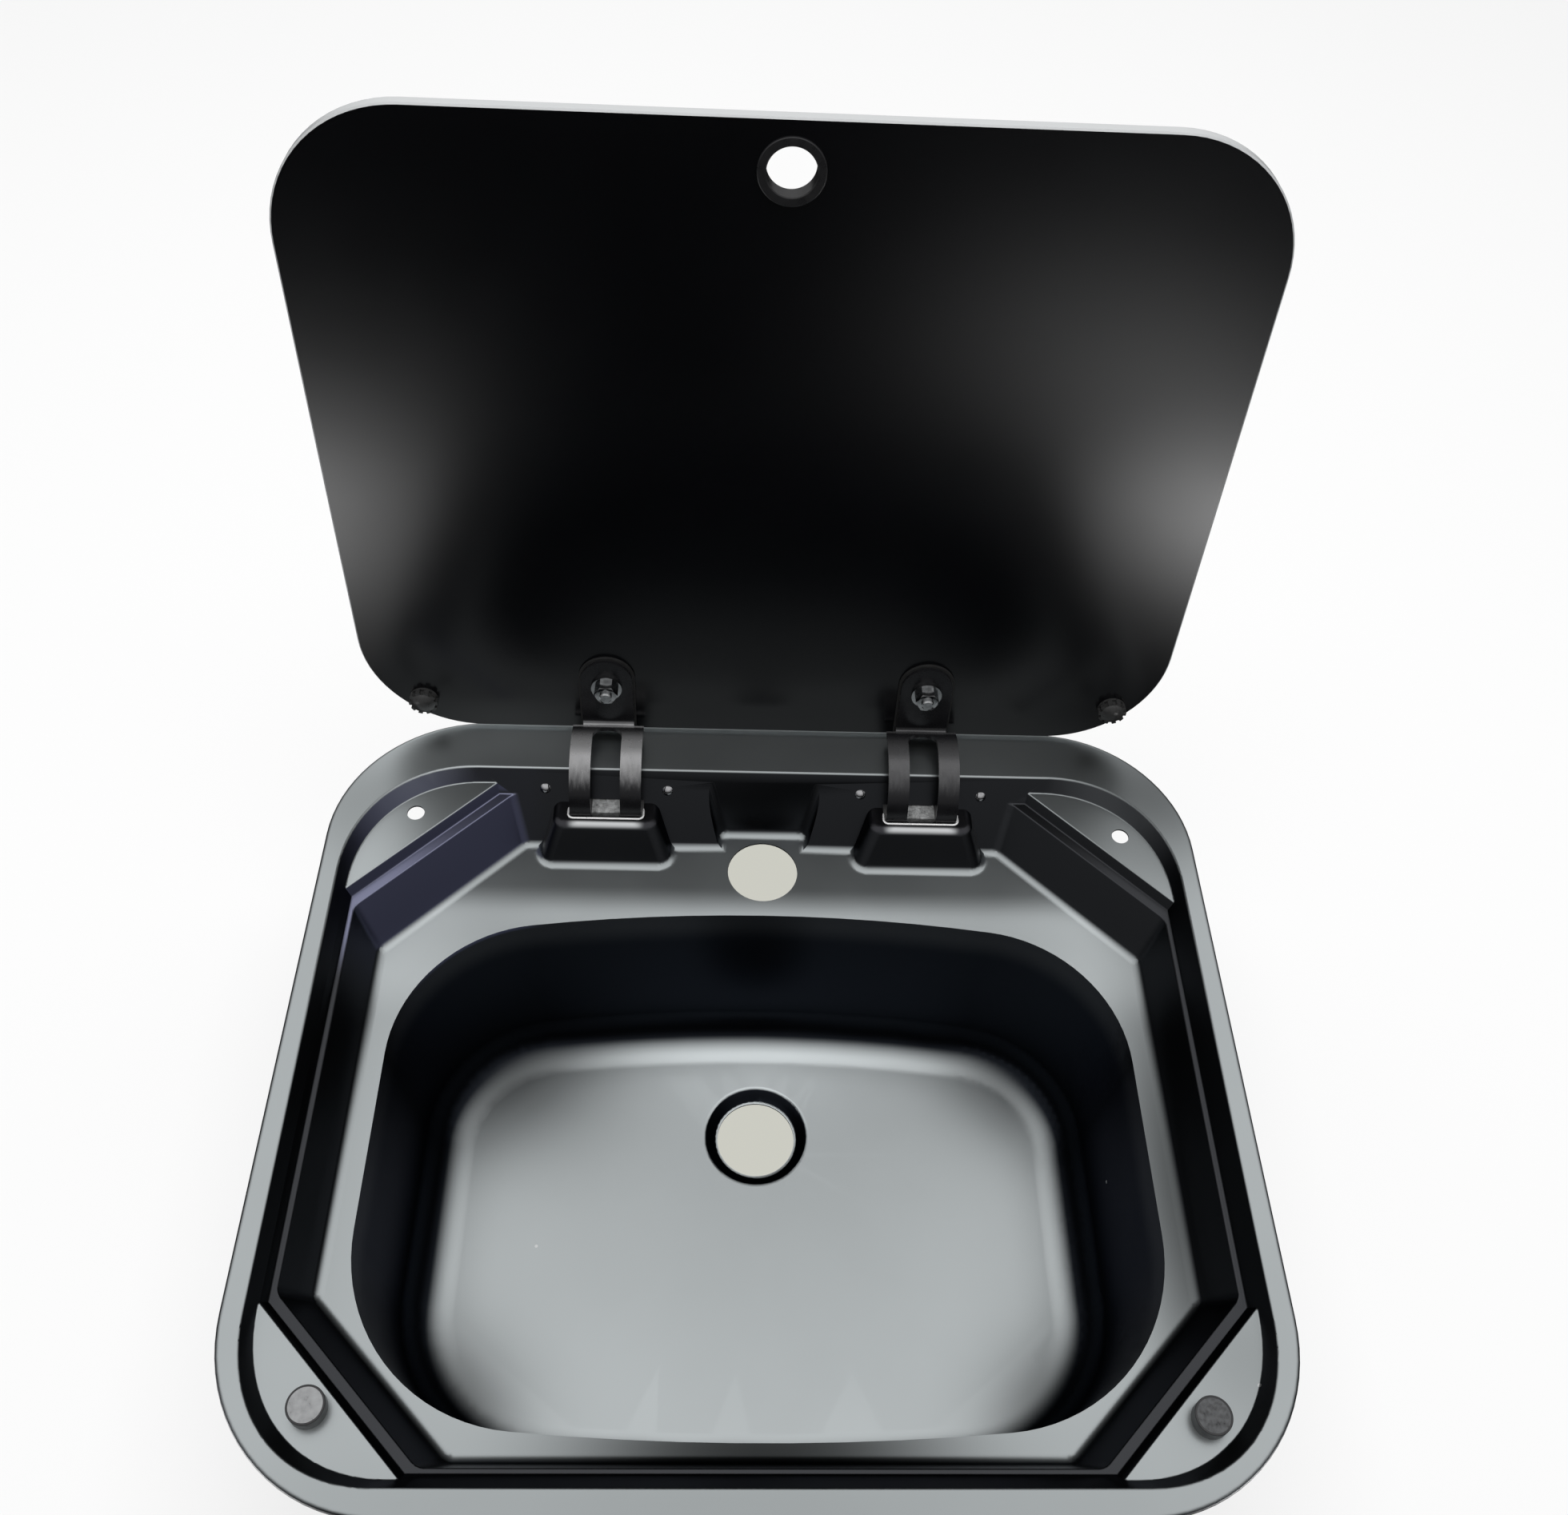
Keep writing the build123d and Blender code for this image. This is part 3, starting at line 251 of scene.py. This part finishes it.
finishes = {
    # colour, metallic and roughness, then the sizes of grain and blotches in metres and their strength
    # the coated steel's colour is a painted light tone: pale as its flats catch the overhead light
    "coated_steel": {"colour": (0.43, 0.46, 0.468), "rough": 0.32, "roughSpread": 0.03,
                     "grain": 0.0005, "grainDepth": 0.000006, "blotch": 0.07, "tone": 0.035},
    "foam_rubber": {"colour": (0.030, 0.030, 0.031), "rough": 0.85, "roughSpread": 0.1,
                    "grain": 0.0006, "grainDepth": 0.00012, "blotch": 0.008, "tone": 0.25},
    "foot_rubber": {"colour": (0.016, 0.016, 0.017), "rough": 0.42, "roughSpread": 0.1,
                    "grain": 0.0003, "grainDepth": 0.00001, "blotch": 0.004, "tone": 0.2},
    "light_pad": {"colour": (0.27, 0.275, 0.28), "metallic": 0.4, "rough": 0.38, "roughSpread": 0.15,
                  "grain": 0.0006, "grainDepth": 0.00004, "blotch": 0.003, "tone": 0.25},
    "dark_pad": {"colour": (0.075, 0.077, 0.08), "metallic": 0.5, "rough": 0.42, "roughSpread": 0.2,
                 "grain": 0.0009, "grainDepth": 0.00012, "blotch": 0.002, "tone": 0.6},
    "plated_steel": {"colour": (0.52, 0.52, 0.51), "metallic": 1.0, "rough": 0.34, "roughSpread": 0.1,
                     "grain": 0.0004, "grainDepth": 0.000008, "blotch": 0.006, "tone": 0.2},
    "black_rivets": {"colour": (0.36, 0.36, 0.37), "metallic": 1.0, "rough": 0.12, "roughSpread": 0.08,
                     "grain": 0.0003, "grainDepth": 0.000006, "blotch": 0.002, "tone": 0.2},
    "bearing_plastic": {"colour": (0.66, 0.64, 0.58), "rough": 0.5, "roughSpread": 0.05,
                        "grain": 0.0003, "grainDepth": 0.000005, "blotch": 0.004, "tone": 0.05},
    "black_glass": {"colour": (0.0011, 0.0013, 0.0021), "rough": 0.22, "roughSpread": 0.02,
                    "grain": 0.004, "grainDepth": 0.0, "blotch": 0.09, "tone": 0.15, "specular": 0.42},
    "grommet_plastic": {"colour": (0.010, 0.010, 0.011), "rough": 0.30, "roughSpread": 0.06,
                        "grain": 0.0003, "grainDepth": 0.000006, "blotch": 0.004, "tone": 0.1},
    "bumper_rubber": {"colour": (0.030, 0.030, 0.030), "rough": 0.32, "roughSpread": 0.1,
                      "grain": 0.0003, "grainDepth": 0.00001, "blotch": 0.003, "tone": 0.2},
    "strap_paint": {"colour": (0.016, 0.016, 0.018), "metallic": 0.5, "rough": 0.27, "roughSpread": 0.05,
                    "grain": 0.0004, "grainDepth": 0.000008, "blotch": 0.006, "tone": 0.12},
    "gasket_rubber": {"colour": (0.014, 0.014, 0.014), "rough": 0.6, "roughSpread": 0.08,
                      "grain": 0.0003, "grainDepth": 0.00001, "blotch": 0.004, "tone": 0.15},
    "raw_steel": {"colour": (0.60, 0.61, 0.61), "metallic": 0.7, "rough": 0.36, "roughSpread": 0.12,
                  "grain": 0.0009, "grainDepth": 0.00022, "blotch": 0.002, "tone": 0.45},
    "brass_bush": {"colour": (0.62, 0.47, 0.22), "metallic": 1.0, "rough": 0.32, "roughSpread": 0.1,
                   "grain": 0.0003, "grainDepth": 0.000006, "blotch": 0.003, "tone": 0.15},
    "bolt_steel": {"colour": (0.33, 0.335, 0.34), "metallic": 1.0, "rough": 0.16, "roughSpread": 0.08,
                   "grain": 0.0003, "grainDepth": 0.000008, "blotch": 0.002, "tone": 0.3},
    # a bare metal edge, coloured near white to paint the glint along it
    "bareEdgeGlint": {"colour": (0.92, 0.92, 0.92), "metallic": 0.3, "rough": 0.3, "roughSpread": 0.05,
                 "grain": 0.0004, "grainDepth": 0.00002, "blotch": 0.003, "tone": 0.08},
    "clamp_paint": {"colour": (0.040, 0.040, 0.042), "metallic": 0.8, "rough": 0.34, "roughSpread": 0.08,
                    "grain": 0.0004, "grainDepth": 0.00001, "blotch": 0.005, "tone": 0.15},
}


def noise(tree, where, size, detail):
    node = tree.nodes.new("ShaderNodeTexNoise")
    node.inputs["Scale"].default_value = 1.0 / size
    node.inputs["Detail"].default_value = detail
    link(tree, where, node.inputs["Vector"])
    return node.outputs["Fac"]


def spread(tree, value, middle, half, low=0.15, high=0.85):
    # noise between low and high becomes middle - half to middle + half
    return softRange(tree, value, low, high, middle - half, middle + half)


def mixColour(tree, factor, first, second):
    node = tree.nodes.new("ShaderNodeMix")
    node.data_type = "RGBA"
    link(tree, factor, node.inputs["Factor"])
    for socket, colour in ((node.inputs[6], first), (node.inputs[7], second)):
        if isinstance(colour, tuple):
            socket.default_value = (*colour, 1)
        else:
            link(tree, colour, socket)
    return node.outputs[2]


def blend(tree, factor, first, second):
    node = tree.nodes.new("ShaderNodeMix")
    link(tree, factor, node.inputs["Factor"])
    link(tree, first, node.inputs["A"])
    link(tree, second, node.inputs["B"])
    return node.outputs["Result"]


def product(tree, *values):
    total = values[0]
    for value in values[1:]:
        total = mathNode(tree, "MULTIPLY", total, value)
    return total


def zone(tree, reads, steps):
    # product of soft steps: each reads one value, and goes from 0 at none to 1 at full
    parts = []
    for name, none, full in steps:
        if none < full:
            parts.append(softRange(tree, reads[name], none, full, 0.0, 1.0))
        else:
            parts.append(softRange(tree, reads[name], full, none, 1.0, 0.0))
    return product(tree, *parts)


hingeX = 0.079  # the hinges stand this far left and right of the middle
# painted light and shade of the one black coat: a pale lit tone for its flats, black walls, lighter upper
# walls, a slate sheen, shaded shelf and boxes, and highlights; besides these, its underside's own colour
# and dust
coatAndPaintedLight = {
    "wall": (0.012, 0.014, 0.018),
    # upper walls a little lighter, a painted light
    "upperWall": (0.036, 0.038, 0.042),
    # a painted slate sheen on the rear left slope and on its step
    "slateSheen": (0.085, 0.090, 0.145),  # rear left slope
    "slateSheenFlat": (0.24, 0.25, 0.36),  # the step above it
    # the shelf and the hinge boxes below are painted shade
    "shelf": (0.055, 0.057, 0.062),
    "box": (0.045, 0.045, 0.050),  # hinge boxes
    # a painted highlight band in front of each slot
    "boxHighlightBand": (0.62, 0.63, 0.64),
    # a painted highlight along the bowl's rim
    "rimHighlight": (0.85, 0.88, 0.89),
    "under": (0.026, 0.027, 0.029),
    "wallEdge": (0.50, 0.50, 0.52),  # tint of what walls mirror
    "floorMetal": 0.45,
    "rimMetal": 0.40,
    "drainY": 0.024,
    "dust": (0.75, 0.75, 0.74),
    "dustShare": 0.003,
    "dustCell": 0.006,
    "dustSize": 0.13,  # as a share of its cell
    "dustCover": 0.5,
}
# where the coat's painted light and shade and its own tones lie: what is read, then where the tone is
# absent and where it is full. x, y, z, aside (from a hinge's middle) and fromDrain are in metres, up and
# frontRightward are shares of the normal, and outward is how far a place lies out times how much it faces
# out
coatZones = {
    "upper": (("z", -0.055, -0.038),),
    "rearLeft": (("x", -0.105, -0.120), ("y", 0.040, 0.070)),
    "slope": (("frontRightward", 0.55, 0.85), ("z", -0.0350, -0.0325)),
    "step": (("z", -0.0055, -0.0075), ("z", -0.0300, -0.0270)),
    "shelf": (("z", -0.0115, -0.0100), ("z", -0.0060, -0.0070)),
    "boxTop": (("y", 0.125, 0.130), ("z", -0.0128, -0.0122), ("z", -0.0105, -0.0115)),
    "boxFace": (("y", 0.108, 0.112), ("z", -0.0285, -0.0265), ("z", -0.0105, -0.0115),
                ("aside", 0.044, 0.040), ("aside", 0.014, 0.019)),
    "boxHighlightBand": (("y", 0.1265, 0.1300), ("y", 0.1345, 0.1325), ("z", -0.0170, -0.0145),
                ("z", -0.0105, -0.0115), ("aside", 0.020, 0.013)),
    "rearFloor": (("y", 0.045, 0.075), ("fromDrain", 0.030, 0.040)),
    "floorFront": (("z", -0.1325, -0.1369),),
    "floorRear": (("z", -0.1310, -0.1369),),
    "pastDish": (("fromDrain", 0.032, 0.038),),
    "dishBottom": (("up", 0.82, 0.998),),
    "upperFlats": (("up", 0.55, 0.97),),
    "rearRim": (("z", -0.026, -0.030), ("y", 0.109, 0.091), ("y", 0.030, 0.060)),
    "low": (("z", -0.110, -0.130),),
    "rimHighlight": (("z", -0.0321, -0.0324), ("z", -0.0350, -0.0338), ("up", 0.72, 0.84), ("up", 0.985, 0.93)),
    "outside": (("outward", 0.004, 0.012),),
    "downward": (("up", -0.05, -0.20),),
    "steep": (("up", 0.60, 0.40),),
}
# soft patches that the room leaves darker or lighter: centre, radii (metres), factor at the centre
shades = (
    ((0.195, 0.148, 0.003), (0.040, 0.035, 0.010), 0.34),
    ((-0.201, 0.130, 0.003), (0.025, 0.030, 0.010), 0.75),
    ((-0.136, 0.172, 0.003), (0.045, 0.020, 0.010), 1.7),
    ((0.0, -0.180, 0.003), (0.20, 0.020, 0.010), 0.84),
    ((0.191, -0.125, -0.004), (0.030, 0.030, 0.006), 0.75),
    ((0.191, 0.110, -0.004), (0.030, 0.030, 0.006), 0.75),
    ((-0.194, 0.104, -0.004), (0.030, 0.030, 0.006), 1.2),
    ((0.0, -0.153, -0.032), (0.060, 0.016, 0.010), 0.08),
    ((0.186, -0.050, -0.032), (0.022, 0.090, 0.010), 0.22),
    ((0.0, 0.070, -0.137), (0.100, 0.035, 0.010), 1.6),
    ((-0.142, 0.072, -0.137), (0.050, 0.045, 0.010), 0.14),
    ((0.0, 0.090, -0.032), (0.130, 0.010, 0.010), 1.35),
    ((-0.160, -0.128, -0.137), (0.038, 0.038, 0.025), 0.05),
    ((0.162, -0.128, -0.137), (0.038, 0.038, 0.025), 0.05),
    ((0.146, 0.078, -0.137), (0.034, 0.038, 0.010), 0.16),
    ((0.010, -0.050, -0.137), (0.110, 0.060, 0.010), 0.88),
)


def shade(tree, place, colour, centre, radii, factor):
    # colour * factor ^ exp(-sum((distance / radius)^2))
    square = 0.0
    for value, middle, radius in zip(place, centre, radii):
        away = mathNode(tree, "DIVIDE", mathNode(tree, "SUBTRACT", value, middle), radius)
        square = mathNode(tree, "ADD", mathNode(tree, "MULTIPLY", away, away), square)
    near = mathNode(tree, "EXPONENT", mathNode(tree, "MULTIPLY", square, -1.0))
    scaled = tree.nodes.new("ShaderNodeVectorMath")
    scaled.operation = "SCALE"
    link(tree, colour, scaled.inputs[0])
    link(tree, mathNode(tree, "POWER", factor, near), scaled.inputs["Scale"])
    return scaled.outputs[0]


def coatReads(tree, place, lean):
    # everything that the coat's zones read
    x, y, z = place
    sideways = mathNode(tree, "SUBTRACT", lean["X"], lean["Y"])
    fromMiddle = mathNode(tree, "SUBTRACT", mathNode(tree, "ABSOLUTE", x), hingeX)
    ahead = mathNode(tree, "POWER", mathNode(tree, "SUBTRACT", y, coatAndPaintedLight["drainY"]), 2.0)
    fromDrain = mathNode(tree, "SQRT", mathNode(tree, "ADD", mathNode(tree, "MULTIPLY", x, x), ahead))
    outX, outY = mathNode(tree, "MULTIPLY", x, lean["X"]), mathNode(tree, "MULTIPLY", y, lean["Y"])
    return {"x": x, "y": y, "z": z, "up": lean["Z"],
            "frontRightward": mathNode(tree, "MULTIPLY", sideways, math.sqrt(0.5)),
            "aside": mathNode(tree, "ABSOLUTE", fromMiddle),
            "fromDrain": fromDrain,
            "outward": mathNode(tree, "ADD", outX, outY)}


def coatColourAndPaintedLight(tree, place, lean, pale):
    # painted light and shade on the black coat: pale where it lies flat, as flats catch the overhead light,
    # deep black on upright walls, and a painted slate sheen on the rear left slope
    reads = coatReads(tree, place, lean)
    at = {name: zone(tree, reads, steps) for name, steps in coatZones.items()}
    for patch in shades:
        pale = shade(tree, place, pale, *patch)
    corner = product(tree, at["rearLeft"], at["upper"])
    wall = mixColour(tree, at["upper"], coatAndPaintedLight["wall"], coatAndPaintedLight["upperWall"])
    wall = mixColour(tree, product(tree, corner, at["slope"]), wall, coatAndPaintedLight["slateSheen"])
    # painted shade on the shelf, and the painted slate sheen on the step above it at the rear left
    pale = mixColour(tree, at["shelf"], pale, coatAndPaintedLight["shelf"])
    pale = mixColour(tree, product(tree, corner, at["step"]), pale, coatAndPaintedLight["slateSheenFlat"])
    # each hinge box is painted dark as shade, but for a painted highlight band in front of its slot
    pale = mixColour(tree, at["boxTop"], pale, coatAndPaintedLight["box"])
    pale = mixColour(tree, at["boxFace"], pale, coatAndPaintedLight["box"])
    pale = mixColour(tree, at["boxHighlightBand"], pale, coatAndPaintedLight["boxHighlightBand"])
    dish = mathNode(tree, "MAXIMUM", at["pastDish"], at["dishBottom"])
    lowFlats = product(tree, blend(tree, at["rearFloor"], at["floorFront"], at["floorRear"]), dish)
    flat = blend(tree, at["upper"], lowFlats, at["upperFlats"])
    # the floor and the deck beside the bowl's rear rim scatter more than they mirror
    soft = product(tree, at["low"], flat, 1.0 - coatAndPaintedLight["floorMetal"])
    softRim = product(tree, at["upper"], at["rearRim"], flat, 1.0 - coatAndPaintedLight["rimMetal"])
    soft = mathNode(tree, "ADD", soft, softRim)
    # a painted highlight: the bowl's rounded rim catches a line of light
    pale = mixColour(tree, at["rimHighlight"], pale, coatAndPaintedLight["rimHighlight"])
    flat = mathNode(tree, "MAXIMUM", flat, at["rimHighlight"])
    # the underside faces down or away from the middle, and is plain satin black
    under = product(tree, mathNode(tree, "MAXIMUM", at["outside"], at["downward"]), at["steep"])
    colour = mixColour(tree, under, mixColour(tree, flat, wall, pale), coatAndPaintedLight["under"])
    metal = product(tree, mathNode(tree, "SUBTRACT", 1.0, soft), mathNode(tree, "SUBTRACT", 1.0, under))
    edge = mixColour(tree, mathNode(tree, "MAXIMUM", flat, under), coatAndPaintedLight["wallEdge"], (1.0, 1.0, 1.0))
    return colour, metal, edge


def addDust(tree, where, colour):
    # one small dot in a few of the cells: near a cell's centre, and only where its colour is low
    cells = tree.nodes.new("ShaderNodeTexVoronoi")
    cells.inputs["Scale"].default_value = 1.0 / coatAndPaintedLight["dustCell"]
    link(tree, where, cells.inputs["Vector"])
    near = mathNode(tree, "LESS_THAN", cells.outputs["Distance"], coatAndPaintedLight["dustSize"])
    pick = tree.nodes.new("ShaderNodeSeparateColor")
    link(tree, cells.outputs["Color"], pick.inputs[0])
    few = mathNode(tree, "LESS_THAN", pick.outputs[0], coatAndPaintedLight["dustShare"])
    return mixColour(tree, product(tree, near, few, coatAndPaintedLight["dustCover"]), colour, coatAndPaintedLight["dust"])


glass = {
    "openAngle": 96.2,  # the lid stands open; shut, its glass faces straight up
    "groundEdge": (0.46, 0.47, 0.475),
    "edgeTurn": (0.90, 0.70),  # share of the face's normal where the edge begins and where it is full
}


def glassColour(tree, normal, colour):
    # the ground edge is where the normal turns out of the glass's plane
    angle = math.radians(glass["openAngle"])
    across = vectorNode(tree, "DOT_PRODUCT", normal, (0.0, -math.sin(angle), math.cos(angle)))["Value"]
    reads = {"facing": mathNode(tree, "ABSOLUTE", across)}
    edge = zone(tree, reads, (("facing", *glass["edgeTurn"]),))
    return mixColour(tree, edge, colour, glass["groundEdge"])


strap = {
    # bare worn metal over the arch, its brightness also a painted sheen; the right strap's is darker, a
    # painted shade
    "wornAndSheen": (0.32, 0.32, 0.325),
    "wornRightShaded": (0.090, 0.090, 0.093),
    "scratch": 0.0012,
    "stretch": (1.0, 0.25, 0.25),  # scratches run along the strap
    "ragged": 0.006,
}
strapZones = {
    "arch": (("ragged", 0.003, 0.014), ("y", 0.174, 0.162)),
    # a painted highlight along the fold
    "fold": (("y", 0.1740, 0.1755), ("y", 0.1790, 0.1778), ("z", 0.0135, 0.0125)),
    "right": (("x", -0.01, 0.01),),
}


def strapColour(tree, where, place, black):
    # worn bare satin over the arch, its brightness a painted sheen as well, and a painted highlight in the
    # fold; black on the tab and towards the pivot, with ragged ends; the right strap's bare patch is
    # darker, a painted shade
    x, y, z = place
    drawn = vectorNode(tree, "MULTIPLY", where, strap["stretch"])["Vector"]
    uneven = mathNode(tree, "SUBTRACT", noise(tree, drawn, strap["scratch"], 2.0), 0.5)
    ragged = mathNode(tree, "ADD", z, mathNode(tree, "MULTIPLY", uneven, strap["ragged"]))
    reads = {"x": x, "y": y, "z": z, "ragged": ragged}
    at = {name: zone(tree, reads, steps) for name, steps in strapZones.items()}
    bare = mixColour(tree, at["right"], strap["wornAndSheen"], strap["wornRightShaded"])
    return mixColour(tree, mathNode(tree, "MAXIMUM", at["arch"], at["fold"]), black, bare)


def makeFinish(name, look):
    paint = bpy.data.materials.new(name)
    paint.use_nodes = True
    tree = paint.node_tree
    shader = tree.nodes["Principled BSDF"]
    coordinates = tree.nodes.new("ShaderNodeTexCoord").outputs
    where, normal = coordinates["Object"], coordinates["Normal"]
    place = axesOf(tree, where)
    blotch = noise(tree, where, look["blotch"], 3.0)
    tone = look["tone"]
    light = tuple(min(1.0, c * (1 + tone)) for c in look["colour"])
    dark = tuple(c * (1 - tone) for c in look["colour"])
    colour = mixColour(tree, spread(tree, blotch, 0.5, 0.5), dark, light)
    if name == "coated_steel":
        colour, metal, edge = coatColourAndPaintedLight(tree, place, axesOf(tree, normal), colour)
        colour = addDust(tree, where, colour)
        link(tree, metal, shader.inputs["Metallic"])
        link(tree, edge, shader.inputs["Specular Tint"])
    elif name == "black_glass":
        colour = glassColour(tree, normal, colour)
    elif name == "strap_paint":
        colour = strapColour(tree, where, place, look["colour"])
    link(tree, colour, shader.inputs["Base Color"])
    shader.inputs["Specular IOR Level"].default_value = look.get("specular", 0.5)
    shader.inputs["Metallic"].default_value = look.get("metallic", 0.0)
    link(tree, spread(tree, blotch, look["rough"], look["roughSpread"]), shader.inputs["Roughness"])
    if look["grainDepth"]:
        bump = tree.nodes.new("ShaderNodeBump")
        bump.inputs["Distance"].default_value = look["grainDepth"]
        link(tree, noise(tree, where, look["grain"], 2.0), bump.inputs["Height"])
        link(tree, bump.outputs[0], shader.inputs["Normal"])
    return paint


paints = {name: makeFinish(name, look) for name, look in finishes.items()}
slotOf = {part["node"]: part["material_slot"] for part in frame["record"]["subparts"]}
smoothAngle = math.radians(30)
weldGap = 0.00001  # metres


def dress(piece, paint):
    piece.data.materials.clear()
    piece.data.materials.append(paint)


def smooth(piece):
    # tessellated faces are welded, split again at real edges, and shaded by area
    for face in piece.data.polygons:
        face.use_smooth = True
    weld = piece.modifiers.new("weld", "WELD")
    weld.merge_threshold = weldGap
    split = piece.modifiers.new("edges", "EDGE_SPLIT")
    split.split_angle = smoothAngle
    split.use_edge_sharp = False
    normals = piece.modifiers.new("normals", "WEIGHTED_NORMAL")
    normals.keep_sharp = True


for name, piece in nodes.items():
    dress(piece, paints[slotOf[name]])
    smooth(piece)
print("finishes made:", len(paints))

slotLip = {
    "halfWidth": 0.0187,
    "front": 0.1353,
    "back": 0.1420,
    "corner": 0.0025,
    "cornerPoints": 12,
    "height": -0.01205,
    "radius": 0.00055,
    "around": 12,
    "along": 120,
    "bluntness": 20,  # how suddenly the ends close
}


def sweep(name, path, radii, around, up):
    # a round section of the given radius along the path, its ends drawn to points
    tangent = np.gradient(path, axis=0)
    tangent /= np.linalg.norm(tangent, axis=1)[:, None]
    side = np.cross(tangent, up)
    side /= np.linalg.norm(side, axis=1)[:, None]
    rise = np.cross(side, tangent)
    turn = np.linspace(0, 2 * np.pi, around, endpoint=False)[None, :, None]
    section = np.cos(turn) * side[:, None] + np.sin(turn) * rise[:, None]
    rings = path[:, None] + radii[:, None, None] * section
    points = np.vstack([path[:1], rings[1:-1].reshape(-1, 3), path[-1:]])
    here = np.arange(around)
    after = np.roll(here, -1)
    first = 1 + np.arange(len(path) - 3)[:, None] * around
    last = len(points) - 1
    tip = last - around
    start = np.stack([np.zeros_like(here), 1 + after, 1 + here], 1)
    skin = np.stack([first + here, first + after, first + around + after, first + around + here], 2)
    finish = np.stack([tip + here, tip + after, np.full_like(here, last)], 1)
    mesh = bpy.data.meshes.new(name)
    mesh.from_pydata(points.tolist(), [], start.tolist() + skin.reshape(-1, 4).tolist() + finish.tolist())
    mesh.polygons.foreach_set("use_smooth", [True] * len(mesh.polygons))
    piece = bpy.data.objects.new(name, mesh)
    bpy.context.scene.collection.objects.link(piece)
    return piece


def makeSlotLip(name, centre):
    # bare edge of the slot, near white to paint its glint: down one side, round the corner, along the front
    # and back up the other side
    look = slotLip
    half, front, corner, count = look["halfWidth"], look["front"], look["corner"], look["cornerPoints"]
    turn = np.radians(np.concatenate([np.linspace(180, 270, count), np.linspace(270, 360, count)]))
    middle = np.repeat([corner - half, half - corner], count)
    corners = np.stack([middle + corner * np.cos(turn), front + corner + corner * np.sin(turn)], 1)
    outline = np.vstack([[-half, look["back"]], corners, [half, look["back"]]])
    gone = np.concatenate([[0], np.cumsum(np.linalg.norm(np.diff(outline, axis=0), axis=1))])
    s = np.linspace(0, gone[-1], look["along"])
    x = np.interp(s, gone, outline[:, 0]) + centre
    y = np.interp(s, gone, outline[:, 1])
    path = np.stack([x, y, np.full_like(s, look["height"])], 1)
    # radius * sqrt(1 - |2t - 1|^bluntness), with t from 0 to 1 along the lip
    radii = look["radius"] * np.sqrt(np.clip(1 - np.abs(2 * s / gone[-1] - 1) ** look["bluntness"], 0, 1))
    piece = sweep(name, path, radii, look["around"], np.array([0.0, 0.0, 1.0]))
    dress(piece, paints["bareEdgeGlint"])
    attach(piece, "root")


makeSlotLip("slotLipLeft", -hingeX)
makeSlotLip("slotLipRight", hingeX)
print("slot lips made")
